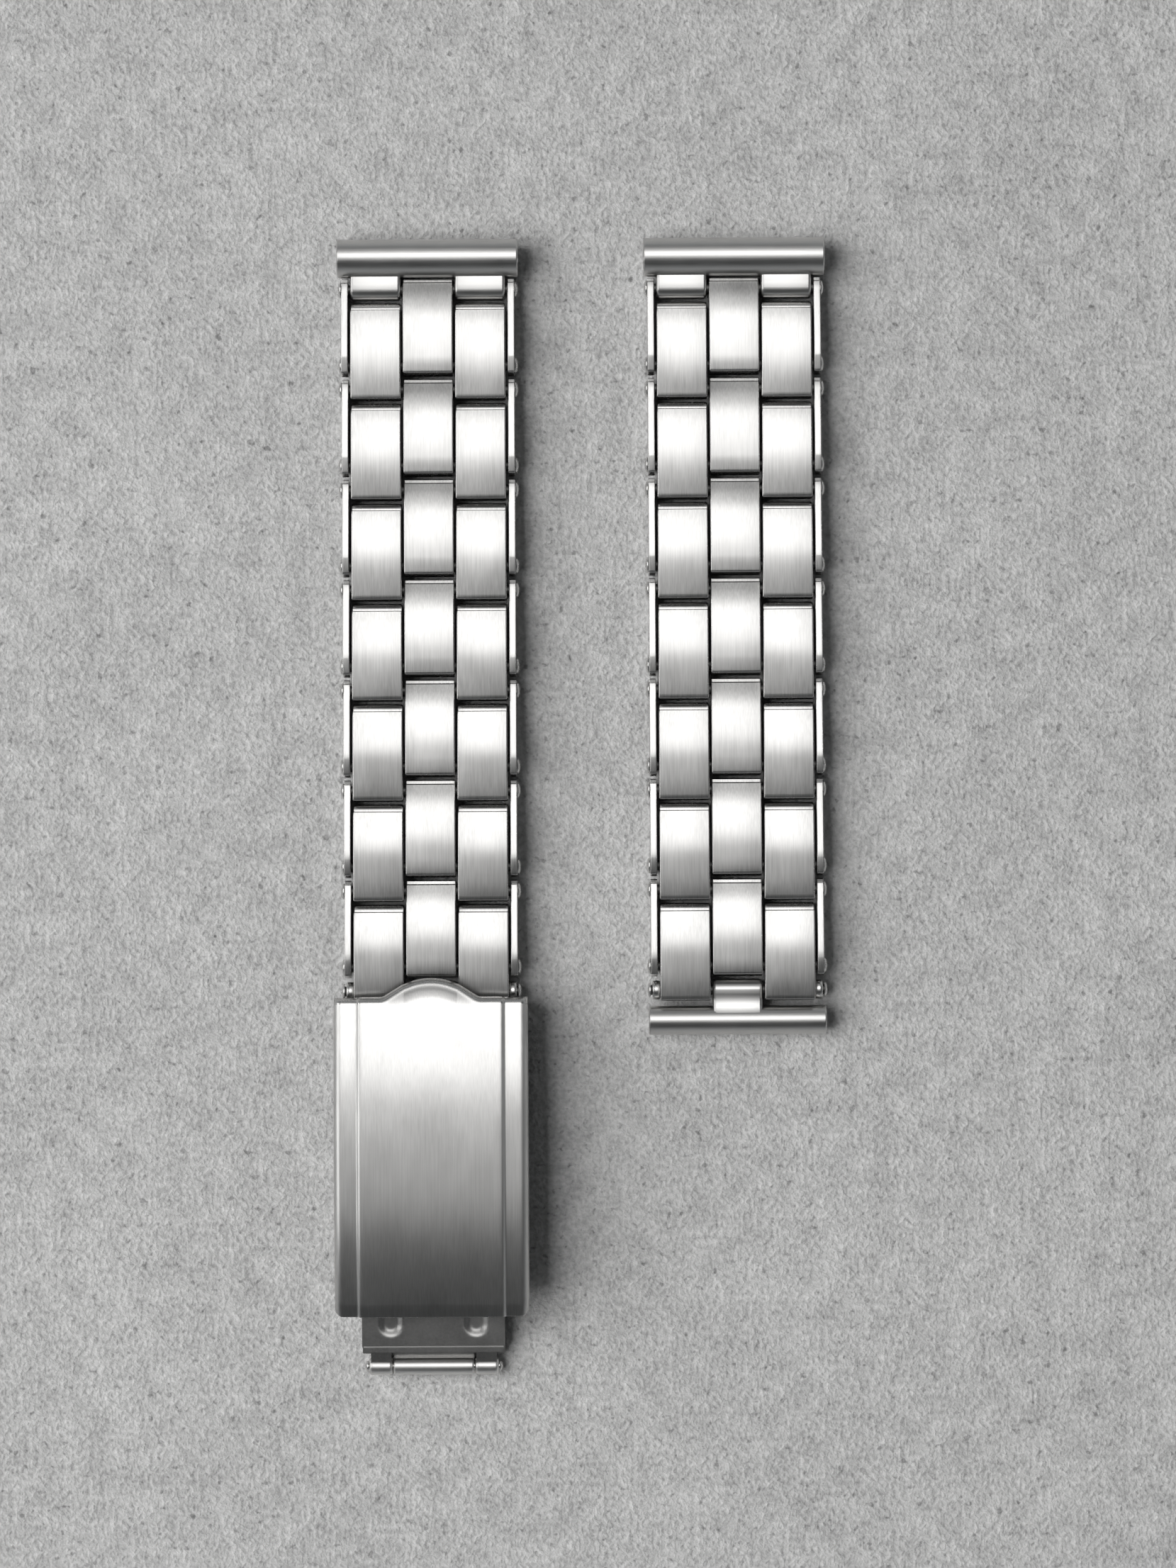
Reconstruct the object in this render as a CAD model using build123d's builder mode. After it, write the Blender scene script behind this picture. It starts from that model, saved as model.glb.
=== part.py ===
from build123d import *
from math import asin, cos, degrees, radians, sin, sqrt
import os

# Stretch link watch bracelet in two halves, laid side by side with the top side up.
# Sizes are in millimetres. +X runs across the bracelet, +Y along it towards the watch, +Z up.
# The origin is on the ground, in the middle of the space that both halves take.
# The left half ends in a folding clasp, the right half in the thin bar that the clasp takes.

# Whole bracelet
lug_width = 18.0            # gap between the watch's lugs
lug_play = 0.2              # what a lug bar is shorter than that gap
half_spacing = 30.2         # between the centre lines of the two halves
rows_per_half = 7

# Rivets
rivet_spacing = 7.5         # between the two rivets of one bridge
joint_spacing = 2.4         # between the rivets of neighbouring bridges, in one outer link
rivet_height = 1.4          # rivet axes above the ground
rivet_radius = 0.5
shank_sides = 8             # rivets are drawn with flats, because there are so many
head_sides = 8              # also the sides of small bushes, and of the clasp's hinge pins
head_radius = 0.8
head_height = 0.33
head_slope = 35             # degrees that a head's side leans in
fixed_fit = 0.02            # round a rivet where it is held fast, and under its head
running_fit = 0.05          # round a rivet where a link turns or slides on it

# Links
centre_width = 4.9
outer_width = 4.94
column_gap = 0.24           # between the centre link, an outer link and a side plate
plate_thickness = 0.68
nose_radius = 0.95          # ends of links and side plates, about the rivet
nose_angle = 25             # degrees of nose above and below the rivet
bottom_shoulder = 0.55      # from a rivet to the end of the bottom face
link_wall = 0.4             # folded sheet round the hollow of a link

# Crowned tops of the links: the top's ends from the nose centres, and its height there
centre_north_shoulder = 0.6     # also those of the side plates
centre_north_height = 2.2
centre_top_height = 3.1         # at its highest
centre_top_share = 0.82         # how far south of its north end the top is highest
centre_south_height = 2.95
centre_south_shoulder = 0.72
plate_drop = 0.2                # how much lower a side plate is than the centre link
outer_north_shoulder = 0.5
outer_north_height = 2.5
outer_top_height = 3.05
outer_top_share = 0.6
outer_south_height = 2.72
outer_south_shoulder = 0.82

# Springs inside the outer links
spring_leaf = 0.18          # thickness of the folded leaf, measured straight up
spring_folds = 4
spring_height = 0.9
spring_play = 0.06          # from a spring's ends to what they press on
spring_inset = 0.5          # from the side of a link to the spring

# Lug bars
lug_bar_radius = 1.9
lug_bore_radius = 0.95      # takes the watch's spring bar
lug_reach = 3.03            # from a lug bar's axis to the first rivet
bar_bevel = 0.15
knuckle_turn = 20           # degrees that a knuckle stays round past its top
knuckle_rise = 25           # degrees up a bar's side to where its knuckles leave it

# End bar of the right half
end_bar_length = 17.5
end_bar_radius = 1.43
end_bar_bore_radius = 0.8
end_bar_reach = 3.0         # from the last rivet to the end bar's axis

# Bushes that take the side plates' place on the last rivet
bush_radius = 0.75

# Folding blades of the clasp
clasp_reach = 37.1          # from the last rivet to the fold pin
blade_bend = 120.0          # radius of the lower blade's underside
blade_foot = 0.1            # height of that underside at both ends
blade_thickness = 0.55
blade_width = 14.1
blade_gap = 0.5             # between the two blades when they are folded
blade_neck = 1.5            # from the last rivet to where the lower blade is wide
fold_radius = 0.875         # knuckles at the fold
fold_pin_radius = 0.35
fold_head_radius = 0.6
fold_head_height = 0.35
fold_centre_width = 7.95    # knuckle of the lower blade
fold_outer_width = 2.4      # each knuckle of the upper blade
fold_side_gap = 0.08
fold_crease = 2.02          # from the fold pin to the crease of the upper blade
fold_neck = 1.33            # from the fold pin to where a blade is wide
blade_corner = 0.7          # cut corners at the fold
groove_spread = 8.44        # between the two pressed grooves
groove_width = 2.9
groove_floor = 1.2
groove_depth = 0.3
groove_start = 4.5          # from the fold pin to the middle of a groove's round end
groove_end = 26.0           # from the fold pin to a groove's other end

# Clasp cover
cover_length = 30.0
cover_width = 19.0
cover_setback = 1.07        # from the last rivet to the cover's straight edge
cover_sheet = 0.55
cover_wall = 0.65
cover_room = 2.95           # above the upper blade, for the end bar
cover_wall_foot = 0.9       # foot of the side walls above the lower blade's underside
cover_round = 0.9           # rounded long edges
cover_flats = 3             # flats that a rounded long edge is drawn with
cover_corner = 0.8          # corners at the fold end
panel_width = 14.2          # raised middle of the cover
panel_rise = 0.3
panel_bevel = 0.22
lip_rise = 1.7              # how far the lifting lip stands out
lip_reach = 4.5             # from the middle to where the lip leaves the straight edge
lip_blend = 1.5             # hollow curve between the straight edge and the lip
hinge_setback = 3.2         # from the last rivet to the cover's hinge pin
hinge_height = 1.75         # that pin above the lower blade's underside
hinge_knuckle_radius = 0.85
hinge_knuckle_width = 10.0
hinge_pin_radius = 0.45
adjust_holes = 3            # pairs of holes for the end bar's spring bar
adjust_radius = 0.45
adjust_inset = 2.2          # from the cover's edge to the first hole
adjust_spacing = 2.4
overrun = 1.0               # how far a cut runs past what it cuts

# Places along and across the bracelet, worked out from the sizes above
pitch = rivet_spacing + joint_spacing
bar_length = lug_width - lug_play
total_width = cover_width / 2 + half_spacing + bar_length / 2
left_x = cover_width / 2 - total_width / 2
right_x = left_x + half_spacing
total_length = lug_bar_radius + lug_reach + rows_per_half * pitch + clasp_reach + fold_radius
lug_y = total_length / 2 - lug_bar_radius
first_rivet_y = lug_y - lug_reach
last_rivet_y = first_rivet_y - rows_per_half * pitch
fold_y = last_rivet_y - clasp_reach
outer_x = centre_width / 2 + column_gap
plate_x = outer_x + outer_width + column_gap
head_x = plate_x + plate_thickness + fixed_fit
hollow_height = rivet_radius + running_fit
outer_north = rivet_spacing - joint_spacing + nose_radius

# The clasp's sheets are bent about one axis, far below the bracelet
bend_y = (last_rivet_y + fold_y) / 2
bend_z = blade_foot - sqrt(blade_bend ** 2 - (clasp_reach / 2) ** 2)
upper_height = blade_thickness + blade_gap
room_height = upper_height + blade_thickness
cover_height = room_height + cover_room
hinge_y = last_rivet_y - hinge_setback
cover_north_y = last_rivet_y - cover_setback
cover_south_y = cover_north_y - cover_length
adjust_height = room_height + (cover_room - end_bar_radius * 2) / 2 + end_bar_radius

os.makedirs("parts", exist_ok=True)


def save(builder, name):
    builder.part.label = name
    export_step(builder.part, f"parts/{name}.step")


def side_plane(x):
    """A plane seen from the side of the bracelet: along it, then up, from x towards +X."""
    return Plane.YZ.offset(x)


# Link forms


def crown(north, south, north_height, top_height, top_share, south_height):
    """The north end, the highest point and the south end of a crowned top."""
    return (north, north_height), (north + (south - north) * top_share, top_height), (south, south_height)


def round_top(highest, end):
    """One side of a crowned top, drawn round."""
    TangentArc(highest, end, tangent=(end[0] - highest[0], 0))


def flat_top(highest, end):
    """One side of a crowned top, drawn with two flats. Half way along, it has dropped by a quarter."""
    Polyline(highest, ((highest[0] + end[0]) / 2, highest[1] + (end[1] - highest[1]) / 4), end)


def link_side(north, south, top, top_line, nose_line):
    """Side outline of a link: crowned top, flat underside, a nose about each of two centres."""
    rise = nose_radius * sin(radians(nose_angle))
    reach = nose_radius * cos(radians(nose_angle))
    north_end, highest, south_end = top
    with BuildLine() as outline:
        for nose, way, end in ((south, -1, south_end), (north, 1, north_end)):
            top_line(highest, end)
            Line(end, (nose + way * reach, rivet_height + rise))
            nose_line(
                (nose + way * reach, rivet_height + rise),
                (nose + way * nose_radius, rivet_height),
                (nose + way * reach, rivet_height - rise),
            )
            Line((nose + way * reach, rivet_height - rise), (nose + way * bottom_shoulder, 0))
        Line((south - bottom_shoulder, 0), (north + bottom_shoulder, 0))
    return outline.line


def rivet_hole(radius, *places):
    """Holes for rivet shanks, cut in the sketch that is being drawn."""
    with Locations(*[(y, rivet_height) for y in places]):
        RegularPolygon(radius, shank_sides, mode=Mode.SUBTRACT)


def bridge_top(height):
    """The crowned top of a centre link, or of a side plate, which is a little lower."""
    drop = centre_top_height - height
    return crown(
        centre_north_shoulder,
        -rivet_spacing - centre_south_shoulder,
        centre_north_height - drop,
        height,
        centre_top_share,
        centre_south_height - drop,
    )


def centre_link():
    """A link between the two rivets of a bridge, hollow between its rivet seats."""
    hollow = rivet_spacing - 2 * (rivet_radius + fixed_fit + link_wall)
    top = bridge_top(centre_top_height)
    with BuildPart() as link:
        with BuildSketch(side_plane(-centre_width / 2)):
            with BuildLine():
                add(link_side(0, -rivet_spacing, top, round_top, ThreePointArc))
            make_face()
            rivet_hole(rivet_radius + fixed_fit, 0, -rivet_spacing)
            with Locations((-rivet_spacing / 2, rivet_height)):
                Rectangle(hollow, hollow_height * 2, mode=Mode.SUBTRACT)
        extrude(amount=centre_width)
    return link.part


def outer_link(x):
    """A box link that turns on its south rivet and lets the rivet at 0 run north in it."""
    slot_end = outer_north - link_wall
    nose = outer_north - nose_radius
    top = crown(
        nose + outer_north_shoulder,
        -joint_spacing - outer_south_shoulder,
        outer_north_height,
        outer_top_height,
        outer_top_share,
        outer_south_height,
    )
    with BuildPart() as link:
        with BuildSketch(side_plane(x)):
            with BuildLine():
                add(link_side(nose, -joint_spacing, top, round_top, Polyline))
            make_face()
            rivet_hole(rivet_radius + running_fit, 0, -joint_spacing)
            with Locations((slot_end / 2, rivet_height)):
                Rectangle(slot_end, hollow_height * 2, mode=Mode.SUBTRACT)
        extrude(amount=outer_width)
    return link.part


def side_plate(x):
    """A thin strip, crowned like the centre link, that holds the rivets of a bridge on one side."""
    with BuildPart() as plate:
        with BuildSketch(side_plane(x)):
            with BuildLine():
                add(link_side(0, -rivet_spacing, bridge_top(centre_top_height - plate_drop), flat_top, Polyline))
            make_face()
            rivet_hole(rivet_radius + fixed_fit, 0, -rivet_spacing)
        extrude(amount=plate_thickness)
    return plate.part


def rivet(radius, half_length, wide_radius, height):
    """A rivet standing on end about the origin, with a low head beyond half_length at each end."""
    with BuildPart() as pin:
        with BuildSketch():
            RegularPolygon(radius, shank_sides)
        extrude(amount=half_length)
        with BuildSketch(Plane.XY.offset(half_length)):
            RegularPolygon(wide_radius, head_sides)
        extrude(amount=height, taper=head_slope)
        mirror(about=Plane.XY)
    return pin.part


def lying(x, y, z):
    """A place for a rivet that is laid across the bracelet."""
    return Locations(Location((x, y, z), (0, 90, 0)))


def spring(x):
    """A folded leaf that pushes the sliding rivet of an outer link back south."""
    start = rivet_radius + spring_play
    end = outer_north - link_wall - spring_play
    step = (end - start) / spring_folds
    low, high = rivet_height - spring_height / 2, rivet_height + spring_height / 2 - spring_leaf
    folds = [(start + n * step, high if n % 2 else low) for n in range(spring_folds + 1)]
    back = [(y, z + spring_leaf) for y, z in reversed(folds)]
    with BuildPart() as leaf:
        with BuildSketch(side_plane(x + spring_inset)):
            with BuildLine():
                Polyline(*folds, *back, close=True)
            make_face()
        extrude(amount=outer_width - 2 * spring_inset)
    return leaf.part


# One row, drawn about its middle: 0 is the north rivet of a bridge, and the sliding rivet of a pair

outer_places = (-outer_x - outer_width, outer_x)

# A bridge: centre link, two side plates and two rivets, held fast in one another
with BuildPart() as bridge:
    add(centre_link())
    for plate_place in (-plate_x - plate_thickness, plate_x):
        add(side_plate(plate_place))
    for rivet_y in (0, -rivet_spacing):
        with lying(0, rivet_y, rivet_height):
            add(rivet(rivet_radius, head_x, head_radius, head_height))

# The pair of outer links that joins a bridge to the next, and the spring in each
with BuildPart() as outer_pair:
    for outer_place in outer_places:
        add(outer_link(outer_place))
with BuildPart() as spring_pair:
    for outer_place in outer_places:
        add(spring(outer_place))


# The rows of both halves

for half, half_x in (("left", left_x), ("right", right_x)):
    for row in range(rows_per_half):
        north_y = first_rivet_y - row * pitch
        for form, name, place_y in (
            (bridge, "link_bridge", north_y),
            (outer_pair, "outer_links", north_y - rivet_spacing),
            (spring_pair, "link_springs", north_y - rivet_spacing),
        ):
            with BuildPart() as piece:
                with Locations((half_x, place_y, 0)):
                    add(form.part)
            save(piece, f"{name}_{half}_{row + 1}")


# Lug bars


def lug_bar(x):
    """A tube for the watch's spring bar, with a knuckle in each outer column."""
    with BuildPart() as bar:
        with BuildSketch(side_plane(x - bar_length / 2)):
            with Locations((lug_y, lug_bar_radius)):
                Circle(lug_bar_radius)
        extrude(amount=bar_length)
        chamfer(bar.edges().filter_by(GeomType.CIRCLE), length=bar_bevel)
        for outer_place in outer_places:
            with BuildSketch(side_plane(x + outer_place)):
                with BuildLine():
                    add(knuckle_side(lug_y, lug_bar_radius, first_rivet_y))
                make_face()
                rivet_hole(rivet_radius + running_fit, first_rivet_y)
            extrude(amount=outer_width)
        with BuildSketch(side_plane(x - bar_length / 2)):
            with Locations((lug_y, lug_bar_radius)):
                Circle(lug_bore_radius)
        extrude(amount=bar_length, mode=Mode.SUBTRACT)
    return bar


def knuckle_side(bar_y, bar_radius, rivet_y):
    """Side outline of a knuckle: round over its rivet, then hollow where it leaves its bar."""
    towards = 1 if bar_y > rivet_y else -1
    turn, rise = radians(knuckle_turn), radians(knuckle_rise)
    over = (rivet_y + towards * nose_radius * sin(turn), rivet_height + nose_radius * cos(turn))
    leave = (bar_y - towards * bar_radius * cos(rise), bar_radius + bar_radius * sin(rise))
    with BuildLine() as outline:
        Line((bar_y, 0), (rivet_y, rivet_height - nose_radius))
        ThreePointArc(
            (rivet_y, rivet_height - nose_radius),
            (rivet_y - towards * nose_radius, rivet_height),
            over,
        )
        TangentArc(over, leave, tangent=(towards * cos(turn), -sin(turn)))
        Polyline(leave, (bar_y, bar_radius), (bar_y, 0))
    return outline.line


save(lug_bar(left_x), "lug_bar_left")
save(lug_bar(right_x), "lug_bar_right")


# Last rivets with their bushes, which are round spacers in place of side plates

bush_x = outer_x + outer_width + fixed_fit
bush_length = head_x - fixed_fit - bush_x
for half, half_x in (("left", left_x), ("right", right_x)):
    with BuildPart() as end_rivet:
        with lying(half_x, last_rivet_y, rivet_height):
            add(rivet(rivet_radius, head_x, head_radius, head_height))
    save(end_rivet, f"end_rivet_{half}")

    with BuildPart() as end_bushes:
        for bush_place in (-bush_x - bush_length, bush_x):
            with BuildSketch(side_plane(half_x + bush_place)):
                with Locations((last_rivet_y, rivet_height)):
                    RegularPolygon(bush_radius, head_sides)
                rivet_hole(rivet_radius + fixed_fit, last_rivet_y)
            extrude(amount=bush_length)
    save(end_bushes, f"end_bushes_{half}")


# End bar of the right half

end_bar_y = last_rivet_y - end_bar_reach
with BuildPart() as end_bar:
    with BuildSketch(side_plane(right_x - end_bar_length / 2)):
        with Locations((end_bar_y, end_bar_radius)):
            Circle(end_bar_radius)
    extrude(amount=end_bar_length)
    chamfer(end_bar.edges().filter_by(GeomType.CIRCLE), length=bar_bevel)
    with BuildSketch(side_plane(right_x - centre_width / 2)):
        with BuildLine():
            add(knuckle_side(end_bar_y, end_bar_radius, last_rivet_y))
        make_face()
        rivet_hole(rivet_radius + running_fit, last_rivet_y)
    extrude(amount=centre_width)
    with BuildSketch(side_plane(right_x - end_bar_length / 2)):
        with Locations((end_bar_y, end_bar_radius)):
            Circle(end_bar_bore_radius)
    extrude(amount=end_bar_length, mode=Mode.SUBTRACT)
save(end_bar, "end_bar")


# Clasp helpers


def bend_angle(y):
    """Angle from the top of the bend to a place along the bracelet, in radians."""
    return asin((y - bend_y) / blade_bend)


def bend_point(y, height):
    """The point that stands over y on the lower blade's underside, height above it."""
    angle = bend_angle(y)
    reach = blade_bend + height
    return bend_y + reach * sin(angle), bend_z + reach * cos(angle)


def bend_plane(y):
    """A plane across the clasp at y: across it, then straight out from the bend's axis."""
    angle = bend_angle(y)
    return Plane(origin=(left_x, bend_y, bend_z), x_dir=(1, 0, 0), z_dir=(0, -cos(angle), sin(angle)))


def bend_arc(north, south):
    """Degrees of the bend between two places along the bracelet."""
    return degrees(bend_angle(north) - bend_angle(south))


bend_axis = Axis((left_x, bend_y, bend_z), (1, 0, 0))


def bent_sheet(north, south, low, high, width):
    """A sheet bent with the clasp, between two places and two heights."""
    with BuildPart() as sheet:
        with BuildSketch(bend_plane(north)):
            with Locations((0, blade_bend + (low + high) / 2)):
                Rectangle(width, high - low)
        revolve(axis=bend_axis, revolution_arc=bend_arc(north, south))
    return sheet.part


def hinge_side(eye_y, eye_z, eye_radius, sheet_y, low, high, over):
    """Side outline of a sheet's end, from sheet_y over or under the eye for a hinge pin."""
    top = eye_z + (eye_radius if over else high - low - eye_radius)
    with BuildSketch(Plane.XY) as outline:
        with BuildLine():
            Polyline(
                bend_point(sheet_y, low),
                bend_point(sheet_y, high),
                (eye_y, top),
                (eye_y, top - (high - low)),
                close=True,
            )
        make_face()
        with Locations((eye_y, eye_z)):
            Circle(eye_radius)
    return outline.sketch


# Lower folding blade: one bent sheet, drawn in to an eye on the last rivet and one at the fold

fold_z = fold_radius
with BuildPart() as lower_blade:
    add(bent_sheet(last_rivet_y - blade_neck, fold_y + fold_neck, 0, blade_thickness, blade_width))
    link_eye = (last_rivet_y, rivet_height, nose_radius, last_rivet_y - blade_neck - overrun)
    with BuildSketch(side_plane(left_x - centre_width / 2)):
        add(hinge_side(*link_eye, 0, blade_thickness, over=False))
        rivet_hole(rivet_radius + running_fit, last_rivet_y)
    extrude(amount=centre_width)
    fold_eye = (fold_y, fold_z, fold_radius, fold_y + fold_neck + overrun)
    with BuildSketch(side_plane(left_x - fold_centre_width / 2)):
        add(hinge_side(*fold_eye, 0, blade_thickness, over=False))
        with Locations((fold_y, fold_z)):
            RegularPolygon(fold_pin_radius + running_fit, shank_sides, mode=Mode.SUBTRACT)
    extrude(amount=fold_centre_width)
save(lower_blade, "lower_blade")


# Upper folding blade: bent like the lower one, with two pressed grooves and a crease at the fold

upper_top = upper_height + blade_thickness
outer_eye_x = fold_centre_width / 2 + fold_side_gap
hinge_eye_y, hinge_eye_z = bend_point(hinge_y, hinge_height)
with BuildPart() as upper_blade:
    add(bent_sheet(hinge_y, fold_y + fold_crease, upper_height, upper_top, blade_width))
    # The creased end, with cut corners, and a neck to each of the two outer eyes
    with BuildSketch(side_plane(left_x - blade_width / 2)):
        crease_eye = (fold_y, fold_z, fold_radius, fold_y + fold_crease)
        add(hinge_side(*crease_eye, upper_height, upper_top, over=True))
        with Locations((fold_y, fold_z)):
            RegularPolygon(fold_pin_radius + fixed_fit, shank_sides, mode=Mode.SUBTRACT)
    extrude(amount=blade_width)
    with BuildSketch(Plane.XY.offset(-overrun)):
        for side in (-1, 1):
            with Locations((left_x + side * blade_width / 2, fold_y + fold_neck)):
                Rectangle(blade_corner, blade_corner, rotation=45)
            edge_x = outer_eye_x + fold_outer_width
            with Locations((left_x + side * edge_x, fold_y - fold_radius)):
                Rectangle(
                    blade_width,
                    fold_neck + fold_radius,
                    align=(Align.MIN if side > 0 else Align.MAX, Align.MIN),
                )
        with Locations((left_x, fold_y - fold_radius)):
            Rectangle(outer_eye_x * 2, fold_neck + fold_radius, align=(Align.CENTER, Align.MIN))
    extrude(amount=cover_height, mode=Mode.SUBTRACT)
    # The eye for the cover's hinge pin
    with BuildSketch(side_plane(left_x - hinge_knuckle_width / 2)):
        with Locations((hinge_eye_y, hinge_eye_z)):
            Circle(hinge_knuckle_radius)
    extrude(amount=hinge_knuckle_width)
    with BuildSketch(side_plane(left_x - blade_width / 2)):
        with Locations((hinge_eye_y, hinge_eye_z)):
            RegularPolygon(hinge_pin_radius + running_fit, head_sides)
    extrude(amount=blade_width, mode=Mode.SUBTRACT)
    # The two pressed grooves, with a round end towards the fold
    groove_top = blade_bend + upper_top
    for middle in (-groove_spread / 2, groove_spread / 2):
        half_groove = (
            (middle, groove_top - groove_depth),
            (middle + groove_floor / 2, groove_top - groove_depth),
            (middle + groove_width / 2, groove_top),
            (middle + groove_width / 2, groove_top + overrun),
            (middle, groove_top + overrun),
        )
        end_plane = bend_plane(fold_y + groove_start)
        end_axis = Axis(end_plane.from_local_coords((middle, 0)), end_plane.y_dir)
        with BuildSketch(end_plane):
            with BuildLine():
                Polyline(*half_groove, close=True)
            make_face()
        revolve(axis=end_axis, mode=Mode.SUBTRACT)
        with BuildSketch(bend_plane(fold_y + groove_end)):
            with BuildLine():
                Polyline(*half_groove, close=True)
            make_face()
            mirror(about=Plane.YZ.offset(middle))
        revolve(
            axis=bend_axis,
            revolution_arc=bend_arc(fold_y + groove_end, fold_y + groove_start),
            mode=Mode.SUBTRACT,
        )
save(upper_blade, "upper_blade")


# Pins of the clasp

with BuildPart() as fold_pin:
    pin_reach = outer_eye_x + fold_outer_width + fixed_fit
    with lying(left_x, fold_y, fold_z):
        add(rivet(fold_pin_radius, pin_reach, fold_head_radius, fold_head_height))
save(fold_pin, "fold_pin")

with BuildPart() as cover_pin:
    with BuildSketch(side_plane(left_x - cover_width / 2)):
        with Locations((hinge_eye_y, hinge_eye_z)):
            RegularPolygon(hinge_pin_radius, head_sides)
    extrude(amount=cover_width)
save(cover_pin, "cover_pin")


# Clasp cover: a stamped channel with a raised middle, bent like the blades


def cover_half(wall, sheet, bevel, foot, edge):
    """One side of the cover's section, outside, or inside once wall and sheet are taken off."""
    top = blade_bend + cover_height + cover_sheet - sheet
    side = cover_width / 2 - wall
    step = panel_width / 2 - bevel
    turns = [radians(90 * n / cover_flats) for n in range(cover_flats + 1)] if edge else [0]
    return (
        (0, top + panel_rise),
        (step, top + panel_rise),
        (step + panel_bevel, top),
        *[(side - edge + edge * sin(turn), top - edge + edge * cos(turn)) for turn in turns],
        (side, blade_bend + foot),
        (0, blade_bend + foot),
    )


def cover_plan():
    """Outline of the cover from above: rounded at the fold end, with the lip at the other."""
    stand = (lip_reach ** 2 + lip_rise ** 2) / (2 * lip_rise)
    turn = asin(lip_reach / stand)
    blend_x = lip_reach - lip_blend * sin(turn)
    blend_y = cover_north_y + lip_blend - lip_blend * cos(turn)
    with BuildSketch(Plane.XY) as plan:
        with BuildLine():
            Polyline(
                (left_x - lip_reach, cover_north_y),
                (left_x - cover_width / 2, cover_north_y),
                (left_x - cover_width / 2, cover_south_y),
                (left_x + cover_width / 2, cover_south_y),
                (left_x + cover_width / 2, cover_north_y),
                (left_x + lip_reach, cover_north_y),
            )
            TangentArc(
                (left_x + lip_reach, cover_north_y),
                (left_x + blend_x, blend_y),
                tangent=(-1, 0),
            )
            ThreePointArc(
                (left_x + blend_x, blend_y),
                (left_x, cover_north_y + lip_rise),
                (left_x - blend_x, blend_y),
            )
            TangentArc(
                (left_x - lip_reach, cover_north_y),
                (left_x - blend_x, blend_y),
                tangent=(1, 0),
            )
        make_face()
        fillet(plan.vertices().group_by(Axis.Y)[0], radius=cover_corner)
    return plan.sketch


with BuildPart() as clasp_cover:
    sweep_start = cover_north_y + lip_rise + overrun
    sweep_arc = bend_arc(sweep_start, cover_south_y - overrun)
    with BuildSketch(bend_plane(sweep_start)):
        with BuildLine():
            Polyline(*cover_half(0, 0, 0, cover_wall_foot, cover_round), close=True)
        make_face()
        mirror(about=Plane.YZ)
    revolve(axis=bend_axis, revolution_arc=sweep_arc)
    with BuildSketch(bend_plane(sweep_start)):
        with BuildLine():
            Polyline(*cover_half(cover_wall, cover_sheet, panel_bevel, 0, 0), close=True)
        make_face()
        mirror(about=Plane.YZ)
    revolve(axis=bend_axis, revolution_arc=sweep_arc, mode=Mode.SUBTRACT)
    with BuildSketch(Plane.XY):
        add(cover_plan())
    extrude(amount=blade_bend, mode=Mode.INTERSECT)
    # Holes for the hinge pin and, near the fold end, for the end bar's spring bar
    with BuildSketch(side_plane(left_x - cover_width / 2)):
        with Locations((hinge_eye_y, hinge_eye_z)):
            RegularPolygon(hinge_pin_radius + fixed_fit, head_sides)
        for hole in range(adjust_holes):
            hole_y = cover_south_y + adjust_inset + hole * adjust_spacing
            with Locations(bend_point(hole_y, adjust_height)):
                Circle(adjust_radius)
    extrude(amount=cover_width, mode=Mode.SUBTRACT)
save(clasp_cover, "clasp_cover")
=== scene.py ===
from math import asin, cos, pi, radians, sin, sqrt, tan

import bpy
from mathutils import Matrix, Vector
from mathutils.geometry import tessellate_polygon


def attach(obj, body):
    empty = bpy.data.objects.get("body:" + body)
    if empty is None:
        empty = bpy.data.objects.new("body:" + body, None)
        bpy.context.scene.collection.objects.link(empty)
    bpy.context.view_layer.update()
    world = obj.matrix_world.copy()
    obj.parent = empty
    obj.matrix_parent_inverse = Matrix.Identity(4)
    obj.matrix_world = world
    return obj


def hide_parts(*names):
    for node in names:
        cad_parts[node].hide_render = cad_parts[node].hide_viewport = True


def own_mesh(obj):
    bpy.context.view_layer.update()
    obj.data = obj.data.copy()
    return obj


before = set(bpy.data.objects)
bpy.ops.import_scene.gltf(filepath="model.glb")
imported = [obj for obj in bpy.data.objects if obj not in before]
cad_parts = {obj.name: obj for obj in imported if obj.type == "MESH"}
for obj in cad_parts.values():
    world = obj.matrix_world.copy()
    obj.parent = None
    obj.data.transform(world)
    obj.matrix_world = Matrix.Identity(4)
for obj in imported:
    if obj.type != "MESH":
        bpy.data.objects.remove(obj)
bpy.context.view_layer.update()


# Lug bars
# A thick tube across the watch end of each half, with two knuckles that hold the first rivet.
# Steel, turned and left satin; the knuckles are one piece with the tube.

mm = 0.001
halves = {"left": -14.8, "right": 15.4}
lug_y, lug_radius, lug_bore, lug_length = 54.2025, 1.9, 0.95, 17.8
rivet_z, nose = 1.4, 1.07
first_rivet_y = 51.1725
outer_inner_x, outer_width = 2.69, 4.94
outer_places = (-outer_inner_x - outer_width, outer_inner_x)
# Faces below this height get painted shade: a dark steel stands in for the shade under and inside the
# links.
painted_shade_below = rivet_z + 0.3      # faces this low lie inside the links
steel_tint, cloud_size, fine_share = (1.0, 0.99, 0.97), (3.2, 5.5, 3.2), 0.6


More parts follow.
